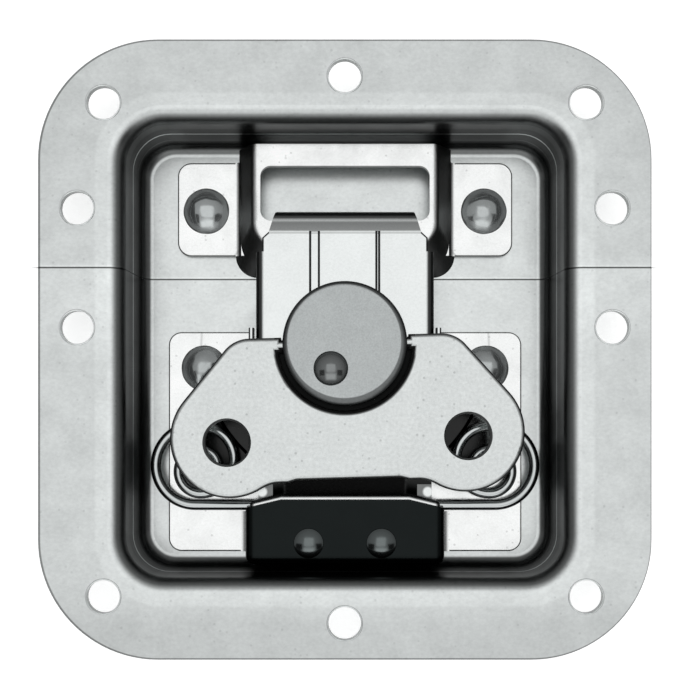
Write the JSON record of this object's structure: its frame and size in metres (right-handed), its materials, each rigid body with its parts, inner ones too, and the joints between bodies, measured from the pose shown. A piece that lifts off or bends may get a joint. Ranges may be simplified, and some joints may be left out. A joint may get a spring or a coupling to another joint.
{
  "type": "recessed butterfly case latch",
  "caption": "Recessed butterfly twist latch in a split square dish: a winged handle turns a crank disc that slides a hook plate out of a slotted strike.",
  "frame": {"origin": "middle of the latch's outline, on the back of the dish's floor", "axes": "+Z out of the case towards the user, +Y towards the lid half and its strike, X across the latch"},
  "size_m": [0.11, 0.1112, 0.0152],
  "materials": {
    "dish_steel": "bright plated sheet, fine grain",
    "plate_steel": "bright plated sheet",
    "hook_steel": "bright plated sheet",
    "handle_steel": "satin plated stamping",
    "rivet_steel": "polished",
    "spring_wire": "polished wire",
    "cast_disc": "matt cast",
    "black_sheet": "black finish, semi-gloss",
    "black_rivet": "black finish, semi-gloss"
  },
  "bodies": {
    "case": {"lid_dish": "dish_steel", "base_dish": "dish_steel", "strike_plate": "plate_steel", "strike_rivet_left": "rivet_steel", "strike_rivet_right": "rivet_steel", "base_plate": "plate_steel", "base_rivet_left": "rivet_steel", "base_rivet_right": "rivet_steel", "hood_cover": "black_sheet", "cover_rivet_left": "black_rivet", "cover_rivet_right": "black_rivet", "wire_spring": "spring_wire"},
    "carrier": {"carrier_plate": "hook_steel", "spindle_washer": "hook_steel"},
    "hook": {"hook_plate": "hook_steel"},
    "disc": {"turret": "cast_disc", "crank_rivet": "rivet_steel", "retaining_ring": "spring_wire"},
    "handle": {"butterfly_handle": "handle_steel"}
  },
  "joints": [
    {"name": "carrier_tilt", "type": "hinge", "parent": "case", "child": "carrier", "pos_m": [0, -0.0286, 0.0039], "axis": [1, 0, 0], "range_deg": [0, 18]},
    {"name": "turret_turn", "type": "hinge", "parent": "carrier", "child": "disc", "pos_m": [0, 0.0014, 0.0072], "axis": [0, 0, 1], "range_deg": [0, 150]},
    {"name": "hook_slide", "type": "slide", "parent": "carrier", "child": "hook", "axis": [0, 1, 0], "range_m": [0, 0.00734]},
    {"name": "handle_fold", "type": "hinge", "parent": "disc", "child": "handle", "pos_m": [0, 0.0014, 0.0111], "axis": [-0.9996, -0.0279, 0], "range_deg": [0, 90]}
  ],
  "couplings": [
    {"joint": "hook_slide", "follows": "turret_turn", "m_per_rad": 0.0028008}
  ]
}
